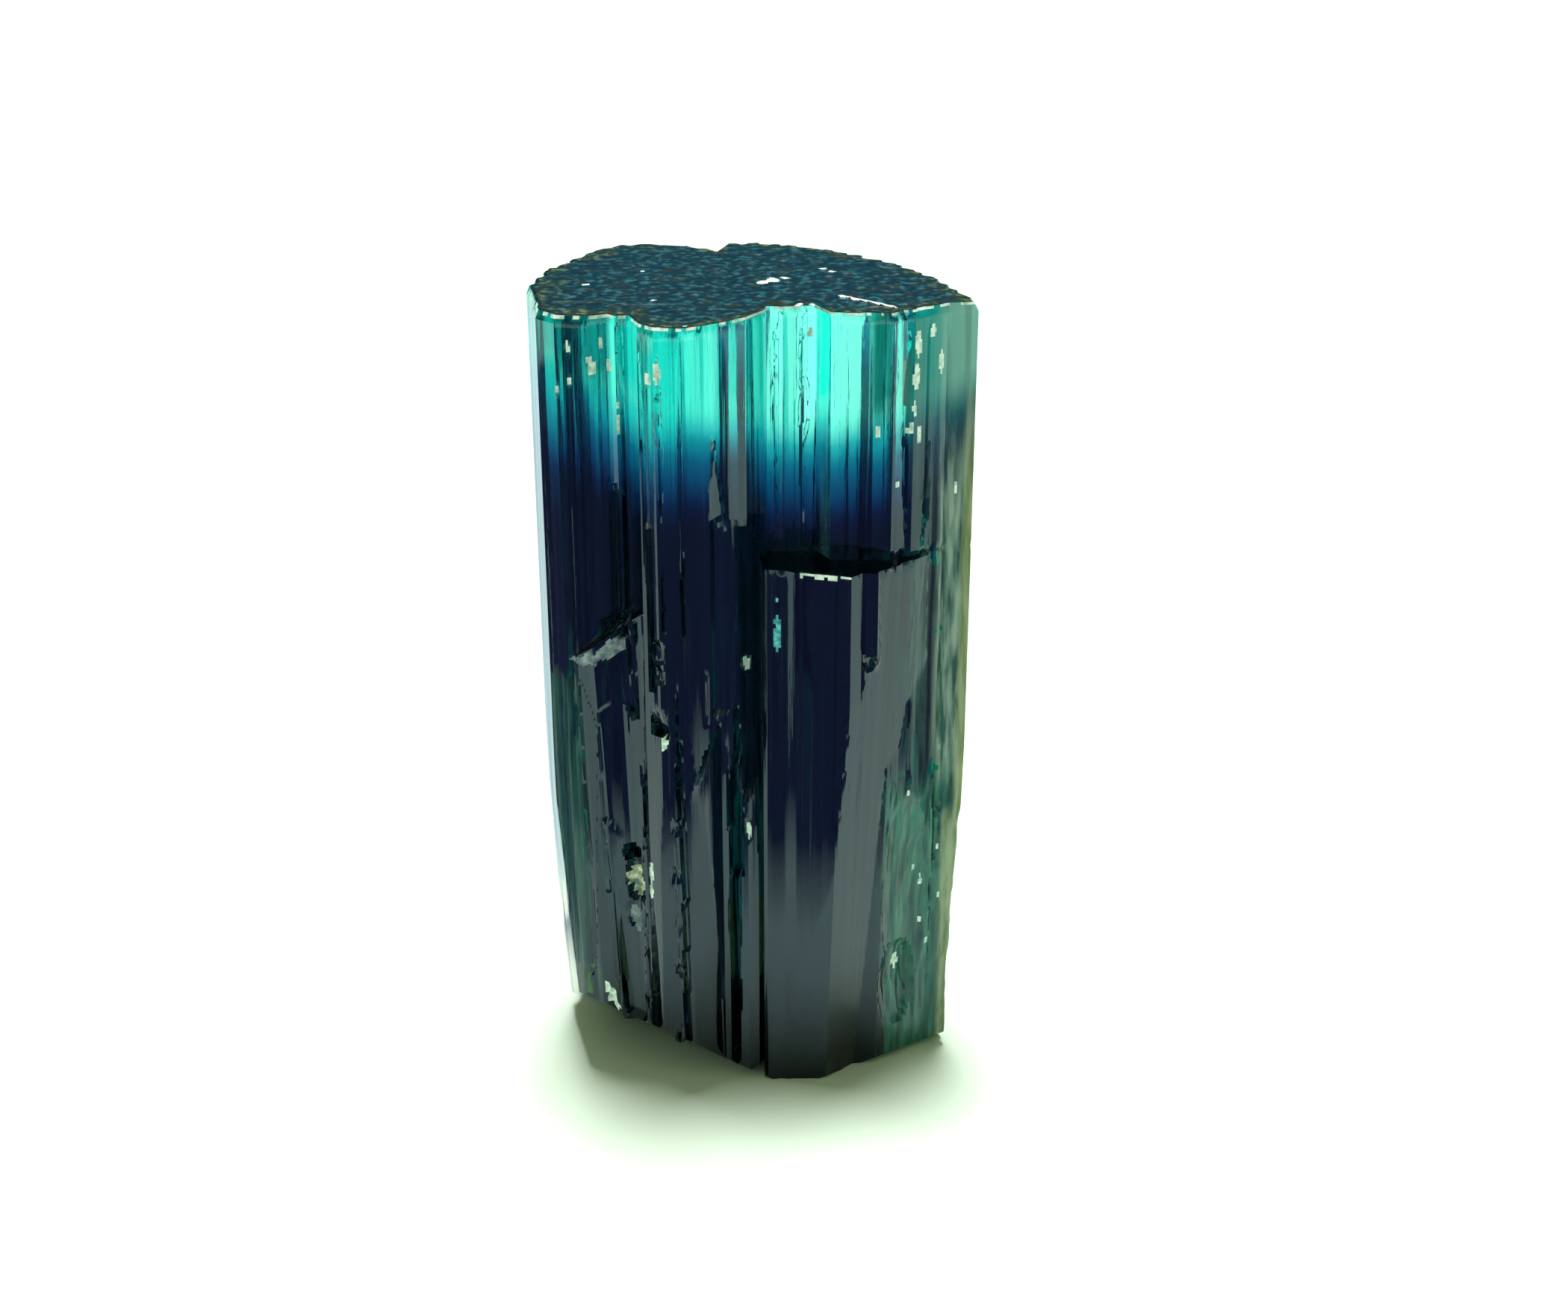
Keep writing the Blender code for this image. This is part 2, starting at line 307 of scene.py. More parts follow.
# %% Underside
BASE_BREAKS = (
    ((-2.65, -4.9, 2.1), (-0.54, -0.72, -1)),
    ((-8, 0, 1.7), (-0.8, 0.1, -1)),
    ((5.3, -4.5, 1), (0.44, -0.664, -1)),
    ((8.4, -1, 2), (1, 0.1, -0.2)),
    ((0, 6.8, 1.3), (0.16, 0.78, -1)),
    ((6, 3.4, 0.9), (0.68, 0.6, -1)),
    ((-6.5, 5, 1.1), (-0.56, 0.56, -1)),
)


def underside(x, y):
    """Height of the underside: the highest of the table and each break's plane, z = z0 - (nx dx + ny dy) / nz."""
    lowest = np.zeros_like(x)
    for (px, py, pz), (nx, ny, nz) in BASE_BREAKS:
        lowest = np.maximum(lowest, pz - (nx * (x - px) + ny * (y - py)) / nz)
    return lowest


# %% [markdown]
# ## The walls
# The main prism narrows a little towards both ends. The side crystal stands proud of it up to a flat ledge, and the
# lower left blade up to a diagonal break.

# %% Walls
WIDTH_AT_HEIGHT = ((0.0, 0.955), (3.0, 0.962), (6.2, 0.972), (11.3, 0.996), (14.0, 1.0), (28.6, 1.0), (31.6, 1.0))
RIM_WIDTH = 0.985
TOP_FIELD = HEIGHT - 0.08
NARROWEST = 0.95
LEDGE = 22.4
SIDE_FACE_POINT = (3.85, -5.4, 16.0)
SIDE_FACE_NORMAL = (0.683, -0.73, -0.066)
SLIVER_FOOT = 18.3
SLIVER_TAPER = 0.7
BLADE_TOP = 20.3
BLADE_TOP_X = -4.5
BLADE_TOP_RISE = 0.78
BLADE_TOP_SLANT = 0.8
BLADE_LEAN = 0.8
# Between the blade and the ledge the step's foot rises from the first height at the first x to the second.
STEP_X = (-3.7, 0.3)
STEP_Z = (20.92, LEDGE)
LEAST_STEP = 0.01
# Point and normal of the planes that cut the crystal back: the left edge, and the front's taper.
CUTS = (((-8.45, 0.0, 14.0), (-0.97, -0.22, -0.06)), ((-2.25, -FRONT_REACH, 16.0), (0.02, -1.0, -0.067)))
LOWER_ROWS = 100
STEP_ROWS = 5
UPPER_ROWS = 48

prism_full = polygon_reach(OUTLINE, HEADING)
prism_narrow = polygon_reach(OUTLINE * NARROWEST, HEADING)
side_reach = polygon_reach(SIDE_OUTLINE, HEADING)
blade_reach = polygon_reach(BLADE_OUTLINE, HEADING)
blade_foot_reach = polygon_reach(BLADE_OUTLINE + (0.0, BLADE_LEAN), HEADING)
sliver_reach = polygon_reach(SLIVER, HEADING)


def plane_reach(point, normal, z):
    """Distance from the core line to a plane: t = normal . (point - core at height z) / normal . ray."""
    toward = normal[0] * RAY_X + normal[1] * RAY_Y
    gap = normal[0] * (point[0] - CORE[0]) + normal[1] * (point[1] - CORE[1]) + normal[2] * (point[2] - z)
    return np.where(toward > 1e-3, gap / np.maximum(toward, 1e-3), FAR)


def spot(reach):
    """x and y of the points at that reach: the core's place plus reach times the ray."""
    return CORE[0] + reach * RAY_X, CORE[1] + reach * RAY_Y


def prism_reach(z):
    """The main prism's reach, blended between the full and the narrowest outline by its width at that height."""
    heights, widths = zip(*WIDTH_AT_HEIGHT, (TOP_FIELD, RIM_WIDTH))
    share = (np.interp(z, heights, widths) - NARROWEST) / (1 - NARROWEST)
    return prism_narrow + share * (prism_full - prism_narrow)


def break_lines():
    """Heights of the foot and the head of the step: level at the ledge, and a slanting face over the blade."""
    x, _ = spot(np.maximum(prism_full, blade_reach))
    diagonal = BLADE_TOP + BLADE_TOP_RISE * (x - BLADE_TOP_X)
    on_front = np.where(x < STEP_X[0], diagonal, np.interp(x, STEP_X, STEP_Z))
    low = BLADE_TOP + BLADE_TOP_RISE * (-LEFT_REACH - BLADE_TOP_X)
    on_back = np.interp(x, (-LEFT_REACH, 0.0), (low, LEDGE))
    foot = np.where(RAY_Y < 0, on_front, on_back)
    slant = np.clip(blade_reach - prism_full, 0, None) * np.abs(RAY_Y) * BLADE_TOP_SLANT
    return foot, foot + slant + LEAST_STEP


FOOT_LINE, HEAD_LINE = break_lines()


def wall_reach(z):
    """How far the stone reaches at height z: the largest of its grown forms, cut back by the planes."""
    reach = prism_reach(z)
    side = np.minimum(side_reach, plane_reach(SIDE_FACE_POINT, SIDE_FACE_NORMAL, z))
    below = z < FOOT_LINE + LEAST_STEP / 2
    reach = np.where(below, np.maximum(reach, side), reach)
    sliver_share = np.clip((z - SLIVER_FOOT) / SLIVER_TAPER, 0, 1) * below
    reach = reach + sliver_share * np.clip(sliver_reach - reach, 0, None)
    lean = np.clip(1 - z / FOOT_LINE, 0, 1)
    blade = blade_reach + lean * (blade_foot_reach - blade_reach)
    reach = np.where(below, np.maximum(reach, blade), reach)
    for point, normal in CUTS:
        reach = np.minimum(reach, plane_reach(point, normal, z))
    return reach


# %% [markdown]
# ## Scars, panels and grooves
# The front is where the matrix broke away, so it carries the marks of that: upright splits, flat panels that are let
# in or stand proud, small pits and torn edges. Each mark takes away a depth that depends on the place on the face,
# x across and z up. We add up the depths of all of them and draw the wall's points in towards the core by that much.

# %% Marks on the faces
PANEL_SIDE_SLOPE = 5.0
LEAST_STEEPNESS = 0.55
# Corners as x and z, then depth at the middle and how it grows with x and with z. A negative depth stands proud.
PANELS = (
    (((-6.42, 18), (-6.4, 4.6), (-6.2, 4.6), (-5.8, 15.8)), 0.05, (0, 0)),
    (((-5.78, 16.5), (-5.72, 11.9), (-4.87, 11), (-4.75, 17.3)), 0.05, (-0.1, 0)),
    (((-4.85, 16.7), (-5.3, 9.9), (-5.15, 2.6), (-4.2, 2.6), (-4.08, 14.4), (-4.3, 16.3)), 0.02, (0, -0.03)),
    (((-3.66, 18.1), (-3.62, 16), (-2.95, 16), (-3.04, 16.8)), 0.12, (0.12, -0.3)),
    (((-3.7, 15.1), (-3.95, 2), (-2.75, 2), (-2.86, 12.7), (-3, 14.6)), 0.06, (0.05, -0.035)),
    (((-1.05, 16.2), (-1.62, 15.1), (-2.2, 13.2), (-2.25, 0.5), (-0.95, 0.5)), 0.26, (0.45, 0)),
    (((-0.25, 12.6), (-0.4, 0.2), (0.66, 0.2), (0.6, 9.9), (0.35, 13.6)), -0.66, (-0.95, 0.02)),
    (((-1.16, 27.6), (-1.3, 24.6), (-0.78, 24.6)), 0.1, (0.25, 0)),
    (((-5.08, 25.8), (-5.08, 19.6), (-4.64, 19.6), (-4.64, 25.2)), 0.16, (0.81, 0)),
    (((-5.9, 4.2), (-5.65, 4.5), (-5.1, 2.2), (-5.5, 2.2)), 0.1, (-0.5, -0.3)),
    (((-1.3, 24.6), (-1.3, 16.6), (-0.5, 16.6), (-0.55, 24)), 0.14, (-0.38, 0)),
    (((-2.3, 23.7), (-2.54, 20.2), (-2.24, 20.2)), 0.16, (1.6, 0)),
    (((-3.7, 24.2), (-3.7, 17.8), (-3.42, 17.8), (-3.46, 24.4)), 0.2, (1.7, 0)),
    (((-3.16, 23.7), (-3.16, 20.3), (-2.98, 20.3)), 0.1, (0.9, 0)),
    (((-1.62, 18.6), (-1.62, 16.4), (-1.42, 16.4), (-1.42, 18.4)), 0.06, (0.5, 0)),
    (((-4.85, 20.3), (-4.74, 16.9), (-4.4, 16.3), (-4.14, 16.4), (-4.14, 20.4)), 0.17, (0.44, 0)),
)
# Depth, then points of the course as x, z and half width.
GROOVES = (
    (1.1, ((-0.5, -1, 0.14), (-0.47, 8, 0.24), (-0.42, 14, 0.2), (-0.42, 17, 0))),
    (0.14, ((-4.08, -1, 0.1), (-4.05, 5, 0.1), (-4.02, 8, 0))),
    (0.35, ((-4.1, 10.4, 0), (-4, 12, 0.07), (-4.1, 14.5, 0))),
    (0.26, ((-2.5, -1, 0.13), (-2.52, 4, 0.15), (-2.5, 9, 0.17), (-2.6, 13, 0.15), (-2.62, 18.4, 0))),
    (0.12, ((-5.2, 1.5, 0), (-5.3, 4, 0.07), (-5.5, 8.6, 0.12), (-5.75, 11.9, 0))),
    (0.2, ((-0.62, 0.5, 0), (-0.66, 10, 0.09), (-0.85, 15.8, 0))),
    (0.12, ((-3.1, 24.5, 0), (-3.08, 26, 0.1), (-3.12, 28.5, 0.12), (-3.1, 31.2, 0))),
    (0.08, ((-3.75, 22, 0), (-3.72, 25, 0.1), (-3.78, 31.5, 0))),
    (0.1, ((-4.5, 15, 0), (-4.48, 20.3, 0.08), (-4.45, 24.5, 0.1), (-4.45, 31, 0.05), (-4.45, 32, 0))),
    (0.08, ((2.12, 22.5, 0), (2.08, 25.5, 0.1), (2.15, 28, 0.14), (2.1, 31, 0.05), (2.1, 32, 0))),
    (0.1, ((5.95, 22.5, 0), (5.92, 27, 0.12), (5.95, 31.6, 0))),
    (0.16, ((6.6, 22.6, 0), (6.75, 24, 0.1), (6.7, 31.6, 0))),
    (0.2, ((7.3, 1, 0), (7.5, 12, 0.1), (7.45, 31.6, 0))),
    (0.1, ((1.05, 22.5, 0), (1.1, 28, 0.08), (1.1, 31.6, 0))),
)
# Side of the crystal, then x and z of the middle, half sizes across and up, and the depth.
HOLLOWS = (
    (-1, -4.45, 9.1, 0.4, 1.1, 0.3), (-1, -4.6, 10.35, 0.36, 0.3, 0.6), (-1, -4.5, 7.5, 0.45, 0.6, 0.12),
    (-1, 6.3, 7.6, 0.95, 4.6, 0.14), (-1, 6, 3.6, 0.75, 1.9, 0.22), (-1, -0.05, 18.4, 0.2, 0.4, 0.3),
    (-1, -3.35, 19.4, 0.3, 0.5, 0.16), (-1, -3.3, 18.5, 0.25, 0.35, 0.2), (-1, -2.75, 12, 0.2, 0.4, 0.14),
    (-1, -2.8, 9.9, 0.22, 0.35, 0.16), (-1, -2.75, 7.6, 0.18, 0.5, 0.12), (-1, -2.7, 5.4, 0.2, 0.3, 0.12),
    (-1, 4.65, 18.75, 0.28, 0.3, 0.25), (-1, 0, 11.5, 0.12, 0.5, 0.15), (1, 3.4, 18, 1.1, 3.4, 0.3),
    (1, -4.9, 8, 1.5, 5.4, 0.35),
)
GROOVE_FULL_WIDTH = 0.08
# Each layer of noise: size, cells around, length up in mm, and seed.
LINES = ((0.01, 300, 12.0, 40), (0.022, 110, 20.0, 41))
LINE_OFFSET = 0.03
SMOOTHER_SIDE = 0.35
SMOOTHER_X = (0.5, 6.5)
TORN_NOISE = ((1.0, 230, 1.3, 61), (0.6, 290, 0.4, 62))
TORN_DEPTH = 0.03
TORN_RIGHT_X = 5.0
TORN_RIGHT_TOP = 13.2
TORN_BASE_TOP = 1.6
# Depth of the chips, and the height of the strip below the edge that they come out of.
RIM_CHIP, RIM_STRIP = 0.1, 0.3
LEDGE_CHIP, LEDGE_STRIP = 0.12, 0.25


def panel_depth(corners, depth, slopes, x, z):
    """A tilted flat with steep sides over a convex outline: the lesser of its depth and slope x distance in."""
    corners = np.array(corners)
    after = np.roll(corners, -1, axis=0)
    middle = corners.mean(axis=0)
    inside = np.full_like(x, 9.0)
    for (x0, z0), (x1, z1) in zip(corners, after):
        normal = np.array((z1 - z0, x0 - x1)) / math.hypot(x1 - x0, z1 - z0)
        normal *= np.sign(normal @ (middle - (x0, z0)))
        inside = np.minimum(inside, normal[0] * (x - x0) + normal[1] * (z - z0))
    flat = depth + slopes[0] * (x - middle[0]) + slopes[1] * (z - middle[1])
    sides = PANEL_SIDE_SLOPE * np.clip(inside, 0, None)
    sign = 1 if depth > 0 else -1
    return sign * np.minimum(np.clip(sign * flat, 0, None), sides)


def mark_depth(x, z, side):
    """Sum of all marks: panels, V-shaped grooves along the nearest column, and hollows, which are soft behind."""
    depth = np.zeros_like(x)
    for hollow_side, x0, z0, half_x, half_z, deepest in HOLLOWS:
        near = 1 - ((x - x0) / half_x) ** 2 - ((z - z0) / half_z) ** 2
        steep = 0.5 if hollow_side < 0 else 1.5
        depth += np.where(side == hollow_side, deepest * np.clip(near, 0, None) ** steep, 0.0)
    front = np.zeros_like(x)
    for panel in PANELS:
        front += panel_depth(*panel, x, z)
    for deepest, course in GROOVES:
        at_x, at_z, half_width = np.array(course).T
        width = np.interp(z, at_z, half_width, left=0.0, right=0.0)
        course_x = np.interp(z, at_z, at_x)
        column = np.argmin(np.abs(x - course_x) + FAR * (side > 0), axis=-1, keepdims=True)
        offset = np.abs(x - np.take_along_axis(x, column, axis=-1))
        share = np.clip(1 - offset / np.maximum(width, 1e-6), 0, None)
        front += deepest * share * np.clip(width / GROOVE_FULL_WIDTH, 0, 1)
    return depth + np.where(side < 0, front, 0.0)


def growth_lines(x, z):
    """Fine upright ruling: random steps across that change slowly upwards, and fainter on the side crystal."""
    left, right = SMOOTHER_X
    on_side = (x > left) & (x < right) & (z < LEDGE + 0.1) & (RAY_Y < 0)
    return np.where(on_side, SMOOTHER_SIDE, 1.0) * noise_layers(LINES, z)


def torn(x, z, side):
    """Torn stone at the lower right corner and round the base, and little chips out of the rim and the ledge."""
    rough = noise_layers(TORN_NOISE, z)
    weight = np.clip((x - TORN_RIGHT_X) / 0.6, 0, 1) * np.clip((TORN_RIGHT_TOP - z) / 2.0, 0, 1) * (side < 0)
    depth = TORN_DEPTH * weight * np.clip(rough + 0.3, 0, None)
    chips = np.clip(lattice_noise(AROUND, 1.5, 170, 63) - 0.15, 0, None)
    depth += RIM_CHIP * chips * np.clip((z - (TOP_FIELD - RIM_STRIP)) / RIM_STRIP, 0, 1)
    chips = np.clip(lattice_noise(AROUND, 1.5, 210, 64), 0, None)
    at_ledge = (z <= LEDGE + 0.02) * (side < 0) * (x > STEP_X[1])
    depth += LEDGE_CHIP * chips * np.clip((z - (LEDGE - LEDGE_STRIP)) / LEDGE_STRIP, 0, 1) * at_ledge
    at_base = np.clip((TORN_BASE_TOP - z) / TORN_BASE_TOP, 0, 1)
    return depth + TORN_DEPTH * at_base * np.clip(rough, 0, None)


def carved(reach, z):
    """The reach with all marks taken off: r - depth / |sin heading|, repeated because x moves with r."""
    side = np.broadcast_to(np.where(RAY_Y < 0, -1, 1), z.shape)
    steepness = np.maximum(np.abs(RAY_Y), LEAST_STEEPNESS)
    result = reach
    for _ in range(3):
        x, _ = spot(result)
        result = reach - (mark_depth(x, z, side) + torn(x, z, side)) / steepness
    return result - np.clip(growth_lines(x, z) + LINE_OFFSET, 0, None)


# %% [markdown]
# ## Rows of points
# The rows of points follow the edge of the underside, then the step at the ledge and over the blade, which a few
# rows of its own cross, and last the rim, so that each of these edges stays crisp.


# %% Rows of the wall
ROW_POWER = 1.2
EDGE_ROUNDS = 12


def carved_rows(start, end, count):
    """Heights that close up towards the end, start + (end - start) (1 - (1 - s)^power), and their reaches."""
    heights = start + (end - start) * (1 - (1 - np.linspace(0, 1, count)[:, None]) ** ROW_POWER)
    return np.stack([heights, carved(np.stack([wall_reach(z) for z in heights]), heights)])


def wall_rows():
    """Heights and reaches of the wall's rows, from the underside's edge up to the rim of the top."""
    edge = np.full_like(HEADING, 1.0)
    for _ in range(EDGE_ROUNDS):
        edge = underside(*spot(carved(wall_reach(edge), edge)))
    lower = carved_rows(edge, FOOT_LINE, LOWER_ROWS)
    upper = carved_rows(HEAD_LINE, TOP_FIELD, UPPER_ROWS)
    share = np.linspace(0, 1, STEP_ROWS + 2)[1:-1, None]
    foot, head = lower[:, -1:], upper[:, :1]
    return np.concatenate([lower, foot + (head - foot) * share, upper], axis=1)


wall_z, wall_r = wall_rows()
print("wall rows:", len(wall_z), "points:", wall_z.size)

# %% [markdown]
# ## The top
# The flat top is not smooth: low growth hillocks, a fraction of a millimetre high, cover it like scales, and catch
# small glints. It also has a shallow chip near its middle and a raised crack towards the right.

# %% Relief of the top
HILL_SEED = 5
HILLS = 620
HILL_PLACES = ((-8, 8.5), (-5.6, 6.8))
HILL_STRETCH = 1.6
HILL_HEIGHT = (0.01, 0.045)
HILL_RADIUS = (0.12, 0.5)
GRAIN_MM = 0.28
GRAIN_HEIGHT = 0.012
# Width in mm of the noise field, wider than the crystal, so that it never wraps inside it.
FIELD = 40
TOP_CHIP = ((0.95, 0.55), (0.95, 0.5), 0.12)
TOP_CRACK = ((3.5, -1.35), (5.4, -2.95), 0.09, 0.06)


def top_relief(x, y):
    """Height over the top's field: the highest of many low cones, plus grain, plus the crack, less the chip."""
    rng = np.random.default_rng(HILL_SEED)
    middle_x, middle_y = (rng.uniform(*span, HILLS) for span in HILL_PLACES)
    height = rng.uniform(*HILL_HEIGHT, HILLS)
    radius = rng.uniform(*HILL_RADIUS, HILLS)
    relief = np.zeros_like(x)
    for mx, my, tall, wide in zip(middle_x, middle_y, height, radius):
        relief = np.maximum(relief, tall * (1 - np.hypot(x - mx, HILL_STRETCH * (y - my)) / wide))
    relief += GRAIN_HEIGHT * (1 + lattice_noise(x / FIELD + 0.5, (y + 20) / GRAIN_MM, round(FIELD / GRAIN_MM), 71))
    (chip_x, chip_y), (half_x, half_y), deepest = TOP_CHIP
    inside = np.clip(1 - ((x - chip_x) / half_x) ** 2 - ((y - chip_y) / half_y) ** 2, 0, None)
    (x0, y0), (x1, y1), width, tall = TOP_CRACK
    length = math.hypot(x1 - x0, y1 - y0)
    along = ((x - x0) * (x1 - x0) + (y - y0) * (y1 - y0)) / length
    across = np.abs((x - x0) * (y1 - y0) - (y - y0) * (x1 - x0)) / length
    crack = np.where((along > 0) & (along < length), tall * np.clip(1 - across / width, 0, None), 0.0)
    return np.clip(relief - deepest * np.sqrt(inside) + crack, 0, HEIGHT - TOP_FIELD)


# %% [markdown]
# ## Bruises and painted glints
# Where the stone was knocked it is crushed to a white powdery surface. Many of the white marks are painted glints as
# well: white paint where a facet catches the light, at the chip and along the raised crack on the top and among the
# specks on the faces. Each mark is listed by its place, and a number from 0 to 1 at every point, kept in the mesh as
# an attribute, says how white the stone is there.

# %% Bruises and painted glints
# x, z and half sizes across and up, on the front.
FRONT_BRUISES_AND_GLINTS = (
    (-6.38, 30.75, 0.12, 0.24), (-5.6, 30.3, 0.15, 0.2), (-5.55, 29.85, 0.12, 0.22), (-5.2, 30.9, 0.11, 0.24),
    (-4.95, 29.95, 0.12, 0.26), (-6.35, 29.5, 0.1, 0.2), (-6.85, 29.1, 0.1, 0.2), (-4.55, 28.7, 0.1, 0.3),
    (-4.62, 27.9, 0.08, 0.4), (-3.45, 30, 0.13, 0.26), (-3.1, 30.3, 0.14, 0.5), (2.35, 30.9, 0.12, 0.22),
    (6.3, 30.6, 0.1, 0.5), (6.25, 29.3, 0.12, 0.6), (6.2, 28.2, 0.08, 0.4), (7.2, 29.8, 0.1, 0.4),
    (6.05, 27.4, 0.16, 0.2), (6.4, 27.1, 0.1, 0.26), (6.85, 31, 0.1, 0.3), (4.85, 27.5, 0.1, 0.3),
    (5.6, 25.4, 0.09, 0.2), (7.85, 24.8, 0.08, 0.4), (-0.08, 18.55, 0.12, 0.2), (0, 18.25, 0.1, 0.16),
    (-3.15, 15.7, 0.14, 0.3), (-3.78, 9.9, 0.08, 0.5), (-3.8, 8.9, 0.08, 0.4), (-4.6, 9.1, 0.2, 0.6),
    (-4.35, 8.9, 0.2, 0.7), (-4.55, 7.4, 0.18, 0.35), (-4.4, 7, 0.13, 0.45), (-5.72, 4, 0.12, 0.3),
    (-5.55, 3.5, 0.14, 0.4), (-5.38, 3, 0.1, 0.3), (1.15, 19.75, 0.14, 0.75), (1.12, 21.3, 0.08, 0.14),
    (-6.75, 18.55, 0.28, 0.1), (-6.3, 18.6, 0.34, 0.18), (-5.85, 18.75, 0.34, 0.26), (-5.4, 19, 0.34, 0.28),
    (-4.95, 19.3, 0.34, 0.28), (-4.65, 19.5, 0.1, 0.2), (0.05, 11.5, 0.09, 0.35), (6.15, 8.1, 0.12, 0.14),
    (6.9, 8, 0.12, 0.2), (6.6, 8.6, 0.1, 0.12), (7.35, 7.3, 0.16, 0.12), (7, 7.35, 0.12, 0.1),
    (7.65, 7.3, 0.1, 0.16), (6.1, 6.6, 0.14, 0.12), (6.65, 6.4, 0.16, 0.1), (6.9, 6.1, 0.08, 0.2),
    (7.5, 9.6, 0.08, 0.3), (7.2, 5.2, 0.08, 0.2), (6.3, 12.3, 0.09, 0.2), (5.9, 4.4, 0.14, 0.3),
    (6.4, 4, 0.1, 0.2),
)
# x, y and half size, on the top.
TOP_BRUISES_AND_GLINTS = (
    (0.6, 0.7, 0.24), (1, 0.95, 0.24), (1.45, 1.3, 0.16), (-4, 2.3, 0.12), (-5.5, 0.8, 0.09),
    (-6.05, 0.3, 0.11), (2.9, 2.7, 0.12), (3.25, 2.3, 0.12), (-3.4, -1.95, 0.09), (4.8, 3.3, 0.08),
    (5.85, 2.3, 0.09), (2, -2.45, 0.13), (2.4, -2.5, 0.1), (-2.1, -5.4, 0.1), (-1.2, -5.05, 0.08),
    (0.3, -3.9, 0.07), (-5.9, -3.7, 0.08),
)
BRUISED = 0.5
# The front edge of the ledge is chipped every 0.13 mm along its middle, and the raised crack on the top is painted
# with glints all along.
draws = random.Random(7)
LEDGE_BRUISES = [
    (x, LEDGE - draws.uniform(0.0, 0.12), draws.uniform(0.05, 0.13), draws.uniform(0.05, 0.19))
    for x in np.arange(2.0, 3.9, 0.13)
]
CRACK_PAINTED_GLINTS = [(x, y, 0.09, 0.07) for x, y in np.linspace(*TOP_CRACK[:2], 16)]
# A frosty line runs under the front rim: its strip's height, mean, unevenness and cells around.
FROST_STRIP, FROST_MEAN, FROST_RAGGED, FROST_CELLS = 0.14, 0.6, 0.7, 260
BRUISE_REACH = 1.5
BRUISE_RAGGED = 0.3
BRUISE_GRAIN = 0.22


def rim_frost(x, y, z):
    """A broken frosty line under the front rim: mean plus lattice noise, within a strip below the top."""
    around = heading_of(x, y) / (2 * math.pi) + 0.5
    amount = FROST_MEAN + FROST_RAGGED * lattice_noise(around, 1.5, FROST_CELLS, 83)
    return np.clip(amount, 0, 1) * (z > TOP_FIELD - FROST_STRIP) * (y < 0)


def bruise_and_glint_amount(across, up, places, seed):
    """How white, 0 to 1, for bruises and painted glints: a reach less the distance from each place in half sizes,
    made ragged by noise.
    """
    ragged = BRUISE_RAGGED * lattice_noise(across / FIELD + 0.5, (up + 20) / BRUISE_GRAIN, 200, seed)
    amount = np.zeros_like(across)
    for x0, up0, half_across, half_up in places:
        distance = np.hypot((across - x0) / half_across, (up - up0) / half_up)
        amount = np.maximum(amount, BRUISE_REACH - distance + ragged)
    return np.clip(amount, 0, 1)


# %% [markdown]
# ## Dull rind with painted glow
# At the right edge, the torn lower right corner and the lower left edge the stone is thin, and its skin is dull and
# fibrous. Its paler green there is partly the stone's own colour and partly painted light: the glow of light coming
# through the thin stone. These places get a material of their own. Each is a box with a ragged border.

# %% Rind
# Lowest and highest x, then z, of the dull skin with its painted glow. Sideways the rind ends at a corner of the left
# lobe and at a rib of the right flank.
RINDS_WITH_PAINTED_GLOW = (
    (6.95, 9, -1, 33),
    (5.95, 7.5, 24.6, 33),
    (6.25, 7.5, 11, 22.1),
    (5.35, 9, -1, 12.9),
    (-9, -6.45, 4.8, 17.9),
)
RIND_FROM, RIND_TO = (heading_of(*corner) for corner in (LEFT_LOBE[2], BACK_RIGHT[3]))
RIND_RAGGED = 0.45
RIND_GRAIN = 1.5


def rind_glow_amount(x, y, z):
    """1 within a box and 0 outside it: distance inside the nearest side, made ragged, turned into a step."""
    ragged = RIND_RAGGED * lattice_noise(x / FIELD + 0.5, (z + 2) / RIND_GRAIN, 160, 91)
    inside = np.full_like(x, -9.0)
    for left, right, low, high in RINDS_WITH_PAINTED_GLOW:
        within = np.minimum(np.minimum(x - left, right - x), np.minimum(z - low, high - z))
        inside = np.maximum(inside, within + ragged)
    heading = heading_of(x, y)
    return ((inside > 0) & (heading > RIND_FROM) & (heading < RIND_TO)).astype(float)


# %% [markdown]
# ## The finished skin
# Rings that shrink towards the core line fill the underside and the top, and a last point closes each. Then the
# arrays become a mesh.

# %% Skin
TOP_RINGS = 52
BASE_RINGS = 9
SHARP_ANGLE = math.radians(16)
STEP_DULLNESS = 0.3
DULL_TO_X = -4.0
BASE_RING_POWER = 0.7
TOP_RING_POWER = 0.8


def ring_points(reach, z_of, shares):
    """Rings inside a closed edge: each is the edge drawn in towards the core line by its share."""
    x, y = spot(shares[:, None] * reach)
    return stacked(x, y, z_of(x, y))


def over_faces(measure, values, faces):
    """The mean or the least of the values at the corners of each face."""
    return np.concatenate([measure(values[group], axis=1) for group in faces])


